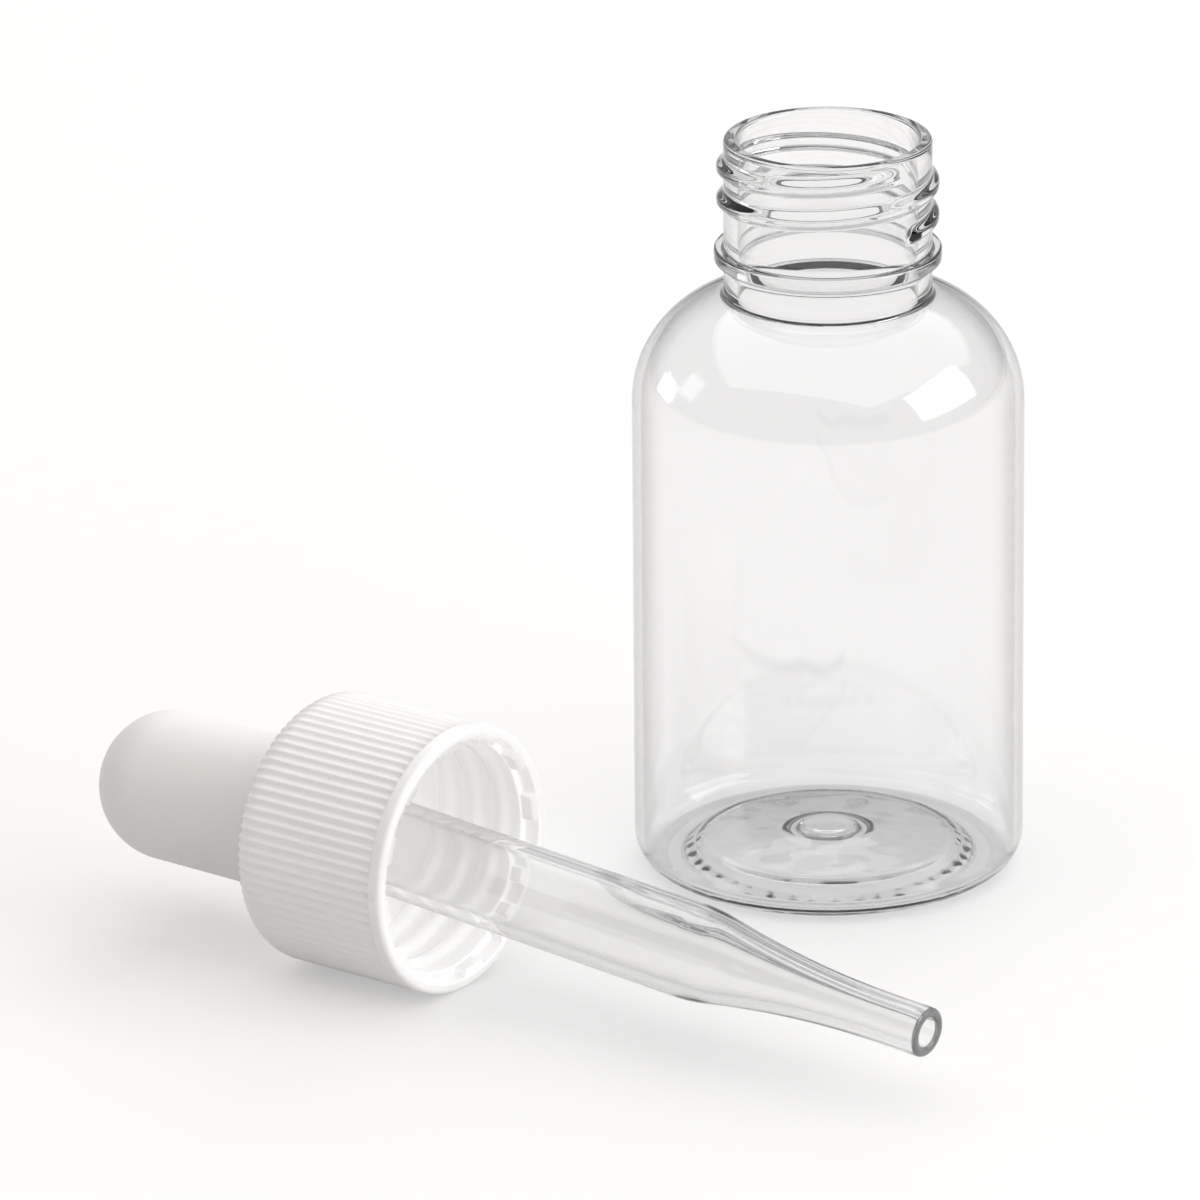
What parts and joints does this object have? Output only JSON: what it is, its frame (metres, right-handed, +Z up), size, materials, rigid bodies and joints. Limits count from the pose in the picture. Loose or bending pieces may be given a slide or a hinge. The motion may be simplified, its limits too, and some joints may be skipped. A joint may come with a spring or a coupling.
{
  "type": "dropper bottle",
  "caption": "Clear round screw-neck bottle with a ribbed screw cap, rubber bulb and glass pipette lying beside it.",
  "frame": {"origin": "centre of the bottle's standing ring, on the surface it stands on", "axes": "+Z up along the bottle's axis, +X along the dropper's axis from bulb to pipette tip, the dropper on the -Y side"},
  "size_m": [0.0888, 0.0746, 0.068],
  "materials": {
    "clear_bottle": "clear, glossy",
    "white_cap": "white, satin moulded",
    "white_rubber": "white, matte",
    "clear_pipette": "clear, fire-polished"
  },
  "bodies": {
    "bottle": {"bottle": "clear_bottle"},
    "dropper": {"pipette": "clear_pipette"},
    "cap": {"cap": "white_cap"},
    "bulb": {"bulb": "white_rubber"}
  },
  "joints": [
    {"name": "dropper_lift", "type": "slide", "parent": "bottle", "child": "dropper", "axis": [0, 0, 1], "range_m": [0, 0.1]},
    {"name": "cap_turn", "type": "hinge", "parent": "dropper", "child": "cap", "pos_m": [-0.02105, -0.045, 0.0121], "axis": [1, 0, 0], "continuous": true},
    {"name": "bulb_squeeze", "type": "slide", "parent": "dropper", "child": "bulb", "axis": [1, 0, 0], "range_m": [0, 0.005], "stiffness_N_per_m": 300, "deforming": ["bulb"]}
  ]
}
